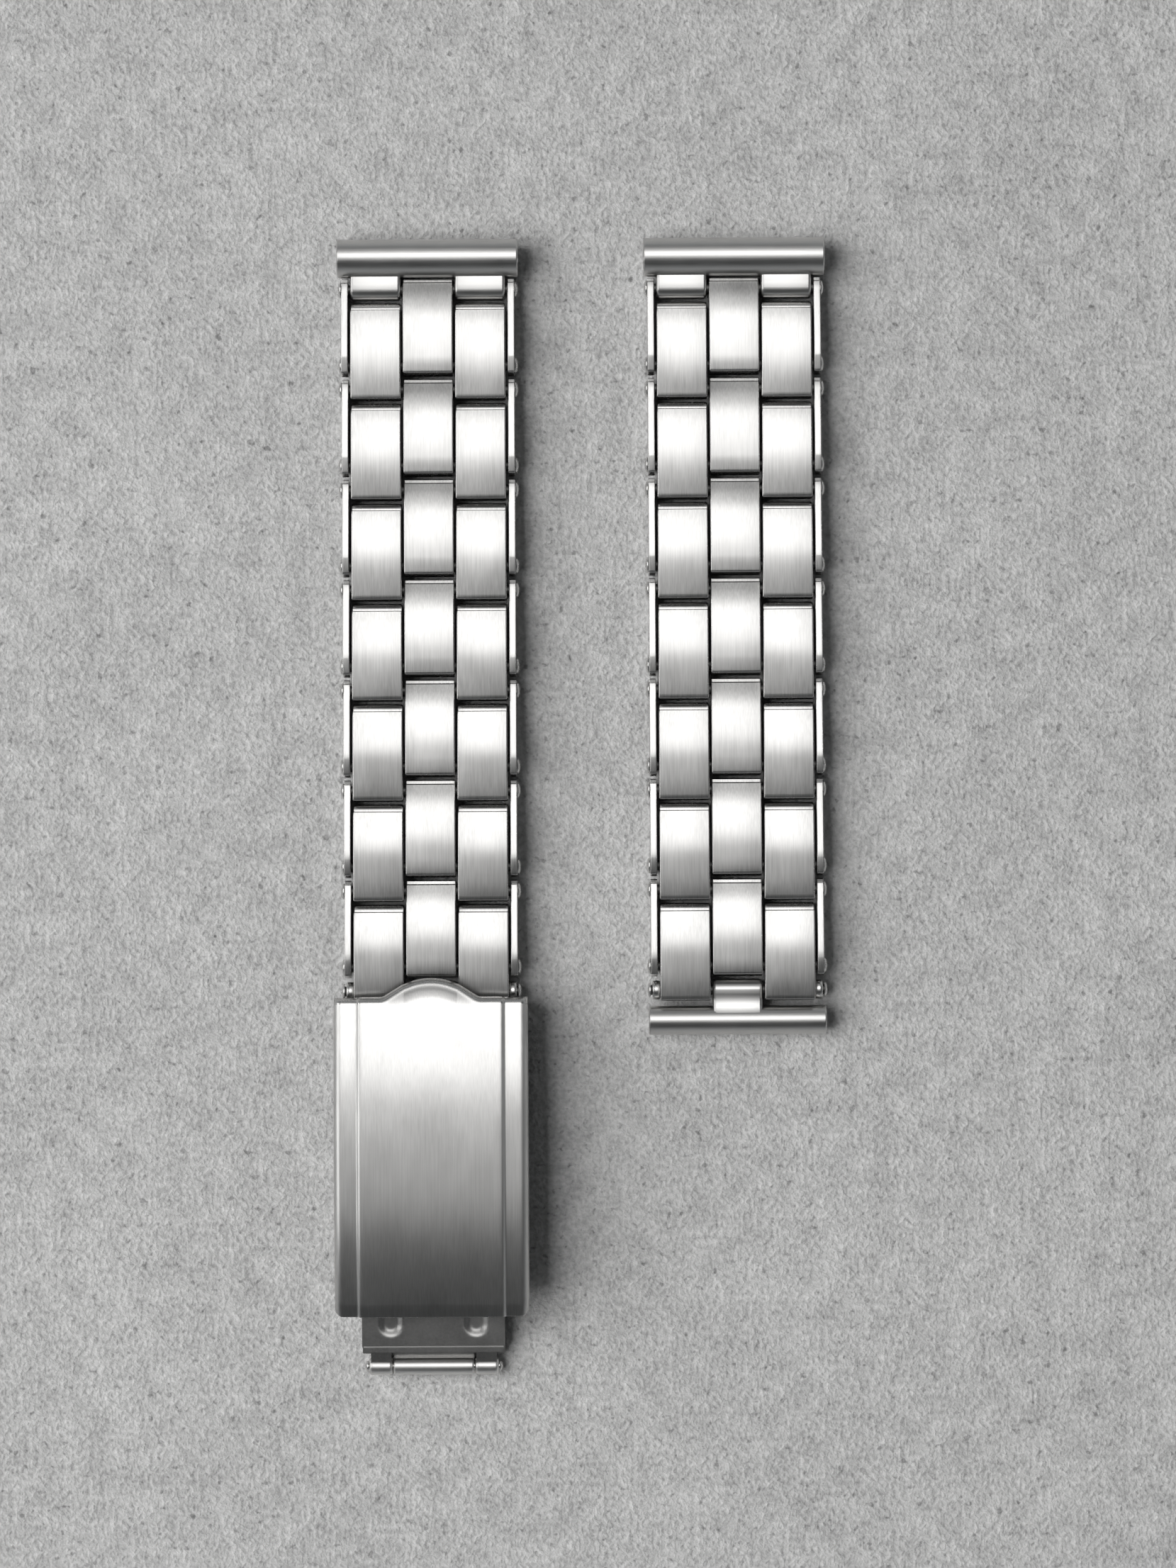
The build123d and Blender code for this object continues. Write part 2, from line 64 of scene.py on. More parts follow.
class Wire:
    """A value in a finish that may vary over the piece. Sums and products of wires add nodes."""

    def __init__(self, tree, socket):
        self.tree, self.socket = tree, socket

    def node(self, kind, inputs, output=0, **settings):
        """Adds any node: its settings first, then the values or wires of its sockets."""
        made = self.tree.nodes.new(kind)
        for key, value in settings.items():
            setattr(made, key, value)
        for key, value in inputs.items():
            if isinstance(value, Wire):
                self.tree.links.new(value.socket, made.inputs[key])
            else:
                made.inputs[key].default_value = value
        return Wire(self.tree, made.outputs[output])

    def joined(self, operation, first, second):
        """A sum, difference or product of two values, by a vector node if one is a vector."""
        pair = [item.socket.type for item in (first, second) if isinstance(item, Wire)]
        kind = "ShaderNodeVectorMath" if "VECTOR" in pair else "ShaderNodeMath"
        return self.node(kind, {0: first, 1: second}, operation=operation)

    def __add__(self, other):
        return self.joined("ADD", self, other)

    def __sub__(self, other):
        return self.joined("SUBTRACT", self, other)

    def __mul__(self, other):
        return self.joined("MULTIPLY", self, other)

    def __radd__(self, other):
        return self.joined("ADD", other, self)

    def __rsub__(self, other):
        return self.joined("SUBTRACT", other, self)

    def __rmul__(self, other):
        return self.joined("MULTIPLY", other, self)

    def noise(self, size, detail=2.0):
        """Noise over the piece, less its mean, with cells of a size in mm along X, Y and Z."""
        spread = self * tuple(1 / (length * mm) for length in size)
        made = self.node("ShaderNodeTexNoise", {"Vector": spread, "Scale": 1.0, "Detail": detail})
        return made - 0.5


def finish(name, metal):
    """A new material with one shader, and the wire of places on the piece."""
    material = bpy.data.materials.new(name)
    material.use_nodes = True
    tree = material.node_tree
    tree.nodes.clear()
    output = tree.nodes.new("ShaderNodeOutputMaterial")
    shader = tree.nodes.new("ShaderNodeBsdfPrincipled")
    tree.links.new(shader.outputs[0], output.inputs["Surface"])
    shader.inputs["Metallic"].default_value = metal
    place = Wire(tree, tree.nodes.new("ShaderNodeTexCoord").outputs["Object"])
    return material, shader, place


def feed(shader, socket, wire):
    """Lets a wire drive one input of a shader."""
    wire.tree.links.new(wire.socket, shader.inputs[socket])


def grey(shade, tint):
    """A colour of one shade, tinted by three factors."""
    parts = {"Red": shade * tint[0], "Green": shade * tint[1], "Blue": shade * tint[2]}
    return shade.node("ShaderNodeCombineColor", parts)


def steel(name, tone, rough, across, grain, lean, depth, spread=0.3):
    """A steel finish. Its marks have the size of grain, and lean is how far they turn light.

    Depth is how much the marks and the wider clouds change the tone, and spread how much they
    change the roughness. Across is how far the gloss spreads sideways, over the brush marks.
    """
    material, shader, place = finish(name, 1.0)
    shader.inputs["Anisotropic"].default_value = across
    marks = place.noise(grain)
    cloud = place.noise(cloud_size, 3.0)
    feed(shader, "Base Color", grey(marks * depth + cloud * depth + tone, steel_tint))
    feed(shader, "Roughness", (marks + cloud) * (rough * spread) + rough)
    facing = Wire(place.tree, place.tree.nodes.new("ShaderNodeNewGeometry").outputs["Normal"])
    fine = place.noise(tuple(length * fine_share for length in grain), 1.0) * lean
    tilted = facing + fine.node("ShaderNodeCombineXYZ", {"X": fine})
    feed(shader, "Normal", facing.node("ShaderNodeVectorMath", {0: tilted}, operation="NORMALIZE"))
    return material


satin = steel("satin_steel", 0.62, 0.31, 0.0, (2.4, 0.12, 0.12), 0.05, 0.07)
# A dark copy of the steel for faces low under or inside the links, bores and rivet shanks: painted
# shade.
shaded_steel = steel("painted_shade_steel", 0.12, 0.5, 0.0, (0.3, 0.3, 0.3), 0.1, 0.03)
polished = steel("polished_steel", 0.70, 0.27, 0.0, (0.4, 0.4, 0.4), 0.04, 0.05)


# The gloss of a brushed finish spreads round this far point of the piece, so it spreads along X.
across_x = (0, -10, 0)


def turn(vector, angle):
    return Matrix.Rotation(angle, 2) @ Vector(vector)


def arc(start, end, direction, steps):
    """Points after start, up to end, on the arc that leaves start in a direction."""
    start, end, direction = Vector(start), Vector(end), Vector(direction)
    chord = end - start
    bend = direction.angle_signed(chord) * -1
    if abs(bend) < 1e-6:
        return [end]
    points = []
    for n in range(1, steps + 1):
        share = n / steps
        reach = chord.length * sin(bend * share) / sin(bend)
        points.append(start + turn(direction.normalized(), bend * share) * reach)
    return points


def about(y, z, radius, first, last, steps):
    """Points on an arc about (y, z), between two angles in degrees from north over the top."""
    angles = [radians(first + (last - first) * n / steps) for n in range(steps + 1)]
    return [Vector((y + radius * cos(angle), z + radius * sin(angle))) for angle in angles]


def moved(outline, y):
    """A side outline moved north by y."""
    return [Vector((point[0] + y, point[1])) for point in outline]


def inset(outline, distance):
    """An outline moved inwards. It runs with its inside on the left."""
    made = []
    for n, point in enumerate(outline):
        before = (point - outline[n - 1]).normalized()
        after = (outline[(n + 1) % len(outline)] - point).normalized()
        bend = (before + after).normalized()
        stretch = max(bend.dot(after), 0.5)
        made.append(point + Vector((-bend.y, bend.x)) * distance / stretch)
    return made


class Piece:
    """The points and faces of one visible piece, in millimetres, until it is made."""

    def __init__(self):
        self.points, self.faces, self.marks = [], [], []

    def face(self, corners, mark):
        """Adds one face, with the number of its finish."""
        self.faces.append(tuple(corners))
        self.marks.append(mark)

    def rings(self, rings, mark, capped=True):
        """Joins closed rings of points one after another. mark(ring, place) picks the finish."""
        first, count = len(self.points), len(rings[0])
        for ring in rings:
            self.points += [tuple(point) for point in ring]
        for row in range(len(rings) - 1):
            for place in range(count):
                a = first + row * count + place
                b = first + row * count + (place + 1) % count
                self.face((a, b, b + count, a + count), mark(row, place))
        if capped:
            last = first + (len(rings) - 1) * count
            self.face(range(first + count - 1, first - 1, -1), 0)
            self.face(range(last, last + count), 0)
        return self

    def across(self, outline, x, width, edge, brushed_top=True, hole=(), steps=3):
        """A body with a side outline, from x over its width, with rounded side edges.

        The top gets the first finish if it is brushed, what lies low or inside gets the third, a dark
        steel that paints the shade there, and the rest gets the second.
        """
        turns = [pi / 2 * n / steps for n in range(steps + 1)]
        stations = [(edge * (1 - cos(angle)), edge * (1 - sin(angle))) for angle in turns]
        stations += [(width - place, drawn) for place, drawn in reversed(stations)]
        count, first = len(outline), len(self.points)
        rings = []
        for place, drawn in stations:
            ring = [(x + place, y, z) for y, z in inset(outline, drawn)]
            rings.append(ring[::-1])
        backwards = outline[::-1]

        def mark(row, place):
            south, north = backwards[place], backwards[(place + 1) % count]
            up = (north.x - south.x) / max((north - south).length, 1e-6)
            # Faces this low lie under or inside the piece and get the painted shade.
            if max(south.y, north.y) < painted_shade_below:
                return 2
            return 0 if brushed_top and row == steps and up > 0.9 and south.y > rivet_z else 1

        self.rings(rings, mark, capped=False)
        bored = len(self.points)
        if hole:
            sides = [[(x + place, y, z) for y, z in hole] for place in (0, width)]
            self.rings(sides, lambda row, place: 2, capped=False)
        for start, ring, shift, way in (
            (first, rings[0], 0, -1),
            (bored - count, rings[-1], len(hole), 1),
        ):
            loops = [[Vector(point) for point in ring]]
            names = list(range(start, start + count))
            if hole:
                loops.append([Vector((ring[0][0], y, z)) for y, z in hole])
                names += range(bored + shift, bored + shift + len(hole))
            for corners in tessellate_polygon(loops):
                corners = [names[n] for n in corners]
                a, b, c = (Vector(self.points[n]) for n in corners)
                self.face(corners if (b - a).cross(c - a).x * way > 0 else corners[::-1], 0)
        return self

    def turned(self, profile, y, z, mark=lambda row, place: 0, sides=32):
        """A body turned about an axis along X, from (x, radius) points."""
        angles = [2 * pi * n / sides for n in range(sides)]
        rings = [[(x, y + r * cos(a), z + r * sin(a)) for a in angles] for x, r in profile]
        return self.rings(rings, mark)

    def bored(self, profile, x, y, z, sides=56):
        """A tube about an axis along X, from a closed (x, radius) outline."""
        first, count = len(self.points), len(profile)
        for n in range(sides):
            angle = 2 * pi * n / sides
            self.points += [(x + a, y + r * cos(angle), z + r * sin(angle)) for a, r in profile]
        for row in range(sides):
            after = (row + 1) % sides
            for place in range(count):
                beside = (place + 1) % count
                names = ((row, place), (row, beside), (after, beside), (after, place))
                self.face([first + a * count + b for a, b in names], 0)
        return self

    def make(self, name, body, slot, finishes, nodes=(), sharp=32):
        """Makes the piece, and lets it ride on its body in place of its CAD nodes."""
        mesh = bpy.data.meshes.new(name)
        mesh.from_pydata([Vector(point) * mm for point in self.points], [], self.faces)
        for material in finishes:
            mesh.materials.append(material)
        for polygon, mark in zip(mesh.polygons, self.marks):
            polygon.material_index = mark
        mesh.use_auto_texspace = False
        mesh.texspace_location, mesh.texspace_size = across_x, (1, 1, 1)
        mesh.shade_smooth()
        mesh.set_sharp_from_angle(angle=radians(sharp))
        piece = bpy.data.objects.new(name, mesh)
        bpy.context.scene.collection.objects.link(piece)
        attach(piece, body)
        if nodes:
            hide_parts(*nodes)
        return piece


def rounded_end(x, radius, edge, steps=4):
    """Points from the side of a turned body to its end at x, round the edge between them."""
    turns = [pi / 2 * n / steps for n in range(steps + 1)]
    way = 1 if x > 0 else -1
    return [(x - way * edge * (1 - sin(t)), radius - edge * (1 - cos(t))) for t in turns]


def tube_profile(length, radius, bore, edge):
    """The closed section of a tube, with rounded ends."""
    reach = length / 2
    outside = rounded_end(-reach, radius, edge)[::-1] + rounded_end(reach, radius, edge)
    return outside + [(reach, bore), (-reach, bore)]


def level_knuckle(bar_y, rivet_y):
    """Side outline of a knuckle north of its rivet: a level strap, rolled down round the rivet."""
    strap_top, strap_foot = rivet_z + nose, rivet_z - nose
    body = about(rivet_y, rivet_z, nose, 270, 90, 18)
    body += [Vector((rivet_y + 0.45, strap_top + 0.015)), Vector((bar_y - 0.9, strap_top - 0.03)),
             Vector((bar_y - 0.6, strap_foot + 0.3))]
    return body[::-1]


def hollow_knuckle(bar_y, bar_radius, rivet_y):
    """Side outline of a knuckle south of its rivet, which dips before it rises to its bar."""
    lean, rise = radians(12), radians(18)
    over = Vector((rivet_y - nose * sin(lean), rivet_z + nose * cos(lean)))
    leave = Vector((bar_y + bar_radius * sin(rise), bar_radius + bar_radius * cos(rise)))
    body = about(rivet_y, rivet_z, nose, -90, 90, 18) + arc(over, leave, (-cos(lean), -sin(lean)), 10)
    return body + [Vector((bar_y, bar_radius * 1.3)), Vector((bar_y, bar_radius * 0.4))]


tube_edge, knuckle_edge = 0.16, 0.3
lug_profile = tube_profile(lug_length, lug_radius, lug_bore, tube_edge)
outline = level_knuckle(lug_y, first_rivet_y)

for half, half_x in halves.items():
    bar = Piece().bored(lug_profile, half_x, lug_y, lug_radius)
    for place in outer_places:
        bar.across(outline, half_x + place, outer_width, knuckle_edge, False)
    bar.make(f"lug_bar_{half}_turned", "lug_bars", "satin_steel", (satin, satin, shaded_steel),
             (f"lug_bar_{half}",), 40)


# Bridges of the link rows
# Each row has a centre link between two thin side plates, held by two rivets with low domed heads.
# The centre link is folded sheet with a crowned top. Link and plates are brushed lengthwise.

rows, pitch, rivet_spacing, joint_spacing = 7, 9.9, 7.5, 2.4
centre_width, plate_inner_x, plate_thickness = 4.9, 7.87, 0.68
head_x, head_radius, head_height, head_rim, shank_radius = 8.57, 0.8, 0.33, 0.03, 0.5
link_edge, plate_edge, tip = 0.11, 0.08, 0.001
brushed = steel("brushed_steel", 0.62, 0.33, 0.85, (0.12, 4.5, 0.12), 0.04, 0.34)
bevelled = steel("bevelled_steel", 0.60, 0.26, 0.0, (0.3, 0.3, 0.3), 0.04, 0.05)


def falling(top, end, power, steps=12):
    """Points after the highest one, down to an end. The higher the power, the later it falls."""
    run, drop = end[0] - top[0], top[1] - end[1]
    shares = [n / steps for n in range(1, steps + 1)]
    return [Vector((top[0] + run * share, top[1] - drop * share ** power)) for share in shares]


def link_outline(north_end, top, south_end, noses, powers):
    """Side outline of a link: its crown between three points, then down round both noses."""
    crown = falling(top, north_end, powers[0])[::-1] + [Vector(top)]
    return crown + falling(top, south_end, powers[1]) + noses[1] + noses[0]


def sharp_nose(middle, way, end):
    """The plain nose of a link: a short bevel, then round past its rivet, and the foot."""
    bevel = ((0.05, 0.015), (0.11, 0.07), (0.13, 0.17))
    points = [Vector((end[0] + way * out, end[1] - down)) for out, down in bevel]
    first, last = (25, -25) if way > 0 else (155, 205)
    points += about(middle, rivet_z, nose, first, last, 5)
    points.append(Vector((middle + way * 0.55, 0)))
    return points if way < 0 else points[::-1]


def rolled_nose(middle, radius, end):
    """The north nose of an outer link: a step down to a rolled edge, and the foot."""
    points = [Vector((end[0] + 0.07, end[1] - 0.09)), Vector((end[0] + 0.07, rivet_z + radius + 0.1))]
    points += about(middle, rivet_z, radius, 96, -60, 10)
    points.append(Vector((middle + 0.1, 0)))
    return points[::-1]


def bridge_outline(north, top, south, powers):
    """Side outline of a centre link or side plate, with a nose round each of its rivets."""
    noses = sharp_nose(0, 1, north), sharp_nose(-rivet_spacing, -1, south)
    return link_outline(north, top, south, noses, powers)


centre_outline = bridge_outline((0.58, 2.08), (-6.632, 3.1), (-8.2, 3.02), (2.5, 2.0))
plate_outline = bridge_outline((0.58, 2.0), (-6.632, 2.9), (-8.2, 2.75), (1.25, 1.4))
hollow = [Vector(point) for point in ((-6.6, 0.85), (-0.9, 0.85), (-0.9, 1.95), (-6.6, 1.95))]
dome = [(head_x, shank_radius), (head_x, head_radius - head_rim)]
dome += [
    (head_x + head_rim + (head_height - head_rim) * sin(angle), head_radius * cos(angle) + tip)
    for angle in (pi / 2 * n / 7 for n in range(8))
]
rivet_profile = [(-x, r) for x, r in reversed(dome)] + dome


def rivet_mark(row, place):
    """The shank between the heads gets painted shade, a dark steel, and the heads are polished."""
    return 1 if row == len(dome) - 1 else 0


for half, half_x in halves.items():
    for row in range(rows):
        north = first_rivet_y - row * pitch
        body = f"bridge_{half}_{row + 1}"
        link = Piece().across(
            moved(centre_outline, north), half_x - centre_width / 2, centre_width, link_edge,
            hole=moved(hollow, north),
        )
        link.make(f"centre_link_{half}_{row + 1}", body, "brushed_steel", (brushed, bevelled, shaded_steel),
                  (f"link_bridge_{half}_{row + 1}",))
        plates = Piece()
        for place in (-plate_inner_x - plate_thickness, plate_inner_x):
            plates.across(moved(plate_outline, north), half_x + place, plate_thickness, plate_edge)
        plates.make(f"side_plates_{half}_{row + 1}", body, "brushed_steel", (brushed, bevelled, shaded_steel))
        pins = Piece()
        for rivet_y in (north, north - rivet_spacing):
            pins.turned([(half_x + x, r) for x, r in rivet_profile], rivet_y, rivet_z, rivet_mark)
        pins.make(f"rivets_{half}_{row + 1}", body, "polished_steel", (polished, shaded_steel), sharp=50)


# Outer links
# A pair of folded box links joins each bridge to the next. They turn on their south rivet, and the
# north one slides in a slot. Crowned and brushed like the centre links, with a rolled north end.

outer_north, outer_top, outer_south = (5.4, 2.58), (0.75, 3.05), (-3.2, 2.85)
outer_noses = rolled_nose(5.5, 0.68, outer_north), sharp_nose(-joint_spacing, -1, outer_south)
outer_outline = link_outline(outer_north, outer_top, outer_south, outer_noses, (2.0, 2.0))
slot_radius, outer_edge = 0.55, 0.12
slot = about(0, rivet_z, slot_radius, 90, 270, 8)
slot_end = ((5.0, -slot_radius), (5.6, -0.3), (5.6, 0.3), (5.0, slot_radius))
slot += [Vector((y, rivet_z + z)) for y, z in slot_end]

for half, half_x in halves.items():
    for row in range(rows):
        slide = first_rivet_y - row * pitch - rivet_spacing
        pair = Piece()
        for place in outer_places:
            pair.across(
                moved(outer_outline, slide), half_x + place, outer_width, outer_edge,
                hole=moved(slot, slide),
            )
        pair.make(f"outer_links_{half}_{row + 1}_pair", f"outer_{half}_{row + 1}", "brushed_steel",
                  (brushed, bevelled, shaded_steel), (f"outer_links_{half}_{row + 1}",))


# Springs
# A folded leaf of spring steel lies in each outer link and pushes the sliding rivet south.
# It is squeezed to half its length when the row is stretched, and can't be seen at rest.

spring_steel = steel("spring_steel", 0.42, 0.3, 0.0, (0.2, 0.2, 0.2), 0.1, 0.05)
spring_start, spring_end, spring_folds, spring_leaf = 0.56, 5.59, 4, 0.18
spring_low, spring_high, spring_gap = rivet_z - 0.45, rivet_z + 0.27, 0.5
step = (spring_end - spring_start) / spring_folds

for half, half_x in halves.items():
    for row in range(rows):
        slide = first_rivet_y - row * pitch - rivet_spacing
        front = [Vector((slide + spring_start + n * step, spring_high if n % 2 else spring_low))
                 for n in range(spring_folds + 1)]
        leaf = front + [point + Vector((0, spring_leaf)) for point in reversed(front)]
        springs = Piece()
        for place in outer_places:
            x = half_x + place + spring_gap
            sides = [[(x + w, y, z) for y, z in leaf[::-1]] for w in (0, outer_width - 2 * spring_gap)]
            springs.rings(sides, lambda row, place: 0)
        made = springs.make(f"springs_{half}_{row + 1}", f"springs_{half}_{row + 1}", "spring_steel",
                            (spring_steel,), (f"link_springs_{half}_{row + 1}",), 20)
        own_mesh(made)


# Last rivets and bushes
# The last rivet of each half carries the clasp or the end bar. A small round bush on each side
# stands where the other rivets have a plate. Both are turned steel, polished.

last_rivet_y = first_rivet_y - rows * pitch
bush_ends, bush_radius, bush_bore, bush_edge = (7.65, 8.4), 0.95, 0.52, 0.1

for half, half_x in halves.items():
    pin = Piece().turned([(half_x + x, r) for x, r in rivet_profile], last_rivet_y, rivet_z, rivet_mark)
    pin.make(f"end_rivet_{half}_turned", f"outer_{half}_{rows}", "polished_steel", (polished, shaded_steel),
             (f"end_rivet_{half}",), 50)
    bushes = Piece()
    for way in (-1, 1):
        low, high = sorted(way * end for end in bush_ends)
        shape = [(low, bush_bore), (low, bush_radius - bush_edge), (low + bush_edge, bush_radius),
                 (high - bush_edge, bush_radius), (high, bush_radius - bush_edge), (high, bush_bore)]
        bushes.turned([(half_x + x, r) for x, r in shape], last_rivet_y, rivet_z)
    bushes.make(f"end_bushes_{half}_turned", f"outer_{half}_{rows}", "polished_steel", (polished,),
                (f"end_bushes_{half}",), 50)


# End bar
# A thin tube at the end of the right half, with one knuckle on the last rivet. The clasp's spring
# bar goes through it. Turned steel, satin like the lug bars.

end_bar_y, end_bar_radius, end_bar_bore, end_bar_length = last_rivet_y - 3.0, 1.43, 0.8, 17.5
end_profile = tube_profile(end_bar_length, end_bar_radius, end_bar_bore, tube_edge)
end_bar = Piece().bored(end_profile, halves["right"], end_bar_y, end_bar_radius)
outline = hollow_knuckle(end_bar_y, end_bar_radius, last_rivet_y)
end_bar.across(outline, halves["right"] - centre_width / 2, centre_width, 0.32, False)
end_bar.make("end_bar_turned", "end_bar", "satin_steel", (satin, satin, shaded_steel), ("end_bar",), 40)


# Lower folding blade
# A bent steel sheet that hangs on the left half's last rivet by a rolled knuckle, and has another
# wide knuckle at the fold. The sheet is left as rolled, a dull grey; its knuckles are rubbed bright.

clasp_x = halves["left"]
bend, clasp_reach, foot = 120.0, 37.1, 0.1
fold_y, fold_radius = last_rivet_y - clasp_reach, 0.875
bend_y = (last_rivet_y + fold_y) / 2
bend_z = foot - sqrt(bend ** 2 - (clasp_reach / 2) ** 2)
blade_thickness, blade_half_width, barrel_bore = 0.55, 7.05, 0.3
hang_neck, fold_neck, neck_reach, fold_knuckle = 1.5, 1.33, 2.2, 7.95
blade = steel("blade_steel", 0.44, 0.37, 0.0, (0.25, 0.25, 0.25), 0.06, 0.12)
rolled = steel("rolled_steel", 0.76, 0.38, 0.0, (0.4, 0.4, 0.4), 0.04, 0.05)


def bent(x, y, height):
    """A place on the clasp: x and y on the bend, height above the lower blade's underside."""
    angle = asin((y - bend_y) / bend)
    reach = bend + height
    return (clasp_x + x, bend_y + reach * sin(angle), bend_z + reach * cos(angle))


def plate_between(piece, shares, along, half_width, high, low):
    """A closed sheet over shares of its width and places along it, between two surfaces."""
    rings = []
    for y in along:
        row = [share * half_width(y) for share in shares]
        rings.append([high(x, y) for x in row] + [low(x, y) for x in reversed(row)])
    piece.rings(rings, lambda row, place: 0)


def spaced(first, last, count):
    """Evenly spaced values from first to last."""
    return [first + (last - first) * n / count for n in range(count + 1)]


def neck(piece, x, width, points, thickness):
    """A narrow strip of sheet along (y, z) points, from x over its width."""
    rings = []
    for y, z in points:
        rings.append([(clasp_x + x, y, z), (clasp_x + x + width, y, z),
                      (clasp_x + x + width, y, z - thickness), (clasp_x + x, y, z - thickness)])
    piece.rings(rings, lambda row, place: 0)


def barrel(piece, x, width, y, z, radius, edge=0.22):
    """A rolled knuckle with rounded ends, from x over its width."""
    ends = rounded_end(width / 2, radius, edge) + [(width / 2, barrel_bore)]
    profile = [(-a, r) for a, r in reversed(ends)] + ends
    piece.turned([(clasp_x + x + width / 2 + a, r) for a, r in profile], y, z, lambda row, place: 1)


lower = Piece()
plate_between(
    lower, (-1, -0.5, 0, 0.5, 1), spaced(last_rivet_y - hang_neck, fold_y + fold_neck, 40),
    lambda y: blade_half_width, lambda x, y: bent(x, y, blade_thickness), lambda x, y: bent(x, y, 0),
)
start = bent(0, last_rivet_y - neck_reach, blade_thickness)[1:]
neck(lower, -centre_width / 2, centre_width, (start, (last_rivet_y, rivet_z - 0.4)), blade_thickness)
barrel(lower, -centre_width / 2, centre_width, last_rivet_y, rivet_z, nose)
start = bent(0, fold_y + neck_reach, blade_thickness)[1:]
neck(lower, -fold_knuckle / 2, fold_knuckle, (start, (fold_y, 0.6)), blade_thickness)
barrel(lower, -fold_knuckle / 2, fold_knuckle, fold_y, fold_radius, fold_radius)
lower.make("lower_blade_bent", "lower_blade", "blade_steel", (blade, rolled), ("lower_blade",))


# Upper folding blade
# The same sheet above the lower one, with two pressed grooves that stiffen it, a crease near the
# fold with cut corners, and two necks that roll into the outer knuckles. Dull grey as rolled.

upper_low, upper_high = 1.05, 1.6
crease_y, neck_y, hinge_y = fold_y + 2.25, fold_y + 1.5, last_rivet_y - 3.2
groove_x, groove_south, groove_north = 4.22, fold_y + 4.5, fold_y + 26.0
groove_reach, groove_floor, groove_depth = 1.35, 0.5, 0.3
fold_top, ridge_reach = fold_radius * 2, 6.9
hinge_height, hinge_width, hinge_radius = 1.75, 10.0, 0.85


def pressed(x, y):
    """Depth of the pressed grooves at a place."""
    past = max(groove_south - y, y - groove_north, 0)
    away = sqrt((abs(x) - groove_x) ** 2 + past ** 2)
    share = min(max((groove_reach - away) / (groove_reach - groove_floor), 0), 1)
    return groove_depth * share * share * (3 - 2 * share)


def upper_face(height):
    """A surface of the upper blade: bent like the lower one, then straight from the crease."""
    def place(x, y):
        if y > crease_y:
            return bent(x, y, height - pressed(x, y))
        _, edge_y, edge_z = bent(0, crease_y, height)
        share = (edge_y - y) / (edge_y - fold_y)
        return (clasp_x + x, y, edge_z + (fold_top - upper_high + height - edge_z) * share)
    return place


def crease_width(y):
    """Half the upper blade's width at y, less where its corners are cut."""
    cut = 0.45 * max((crease_y - 0.1 - y) / (crease_y - 0.1 - neck_y), 0)
    return blade_half_width - cut ** 2 * 2.2


upper = Piece()
shares = sorted(
    [side * (groove_x + offset) / blade_half_width
     for side in (-1, 1) for offset in spaced(-1.4, 1.4, 18)] + [-1, -0.9, -0.2, 0, 0.2, 0.9, 1]
)
along = spaced(hinge_y, groove_north + 1.5, 6)[:-1]
along += spaced(groove_north + 1.5, groove_north - 0.3, 10)
along += spaced(groove_north - 1.2, groove_south + 1.2, 18)
along += spaced(groove_south + 0.4, groove_south - 1.5, 14)
along += [crease_y + 0.7, crease_y + 0.06, crease_y] + spaced(crease_y - 0.08, neck_y, 5)
plate_between(upper, shares, along, crease_width, upper_face(upper_high), upper_face(upper_low))
slope = ((neck_y + 0.1, fold_top + 0.12), (neck_y - 0.4, fold_top + 0.02),
         (neck_y - 0.8, fold_top - 0.12), (fold_y, fold_top - 0.2))
for side in (-1, 1):
    neck(upper, side * 5.2 - 1.0, 2.0, slope, blade_thickness)
    barrel(upper, side * 5.23 - 1.18, 2.36, fold_y, fold_radius, fold_radius, 0.35)
section = ((-0.08, -0.01), (0, 0.06), (0.08, 0))
ridge = [bent(0, crease_y + out, upper_high + up)[1:] for out, up in section]
rings = [[(clasp_x + x, y, z) for y, z in ridge] for x in (-ridge_reach, ridge_reach)]
upper.rings(rings, lambda row, place: 1)
hinge_place = bent(0, hinge_y, hinge_height)[1:]
barrel(upper, -hinge_width / 2, hinge_width, *hinge_place, hinge_radius)
upper.make("upper_blade_bent", "upper_blade", "blade_steel", (blade, rolled), ("upper_blade",))


# Pins of the clasp
# The fold pin has a small domed head at each end. The cover's hinge pin is pressed into the side
# walls and filed flush. Both are polished steel.

pin_x, pin_radius, pin_head, pin_bulge = 6.475, 0.35, 0.55, 0.35


def both_ends(ends):
    """The profile of a pin across the clasp, the same at both ends."""
    return [(clasp_x - x, r) for x, r in reversed(ends)] + [(clasp_x + x, r) for x, r in ends]


headed_end = [(pin_x, pin_radius)] + [
    (pin_x + pin_bulge * sin(angle), pin_head * cos(angle) + tip)
    for angle in (pi / 2 * n / 6 for n in range(7))
]
fold_pin = Piece().turned(both_ends(headed_end), fold_y, fold_radius)
fold_pin.make("fold_pin_headed", "upper_blade", "polished_steel", (polished,), ("fold_pin",), 50)
flush_end = [(9.46, 0.45), (9.5, 0.41), (9.5, 0.2)]
cover_pin = Piece().turned(both_ends(flush_end), *hinge_place)
cover_pin.make("cover_pin_flush", "cover", "polished_steel", (polished,), ("cover_pin",), 40)


# Clasp cover
# A stamped channel that covers the folded blades: a raised middle panel, a band on each side that
# rolls over into the side walls, and a lifting lip at the watch end. Brushed along its length.

cover_top, cover_sheet, cover_wall, cover_foot = 5.1, 0.55, 0.65, 0.9
cover_half_width, cover_round, cover_corner, panel_rise = 9.5, 0.8, 0.8, 0.3
cover_north, cover_south = last_rivet_y - 1.07, last_rivet_y - 31.07
cover_brushed = steel("cover_steel", 0.62, 0.3, 0.85, (0.1, 9.0, 0.1), 0.004, 0.22, 0.1)


def eased(before, at, after, radius, steps):
    """Points that round a corner between two straight runs."""
    corner = Vector(at)
    first, second = (Vector(before) - corner).normalized(), (Vector(after) - corner).normalized()
    reach = radius / tan(first.angle(second) / 2)
    start, end = corner + first * reach, corner + second * reach
    return [start] + arc(start, end, -first, steps)


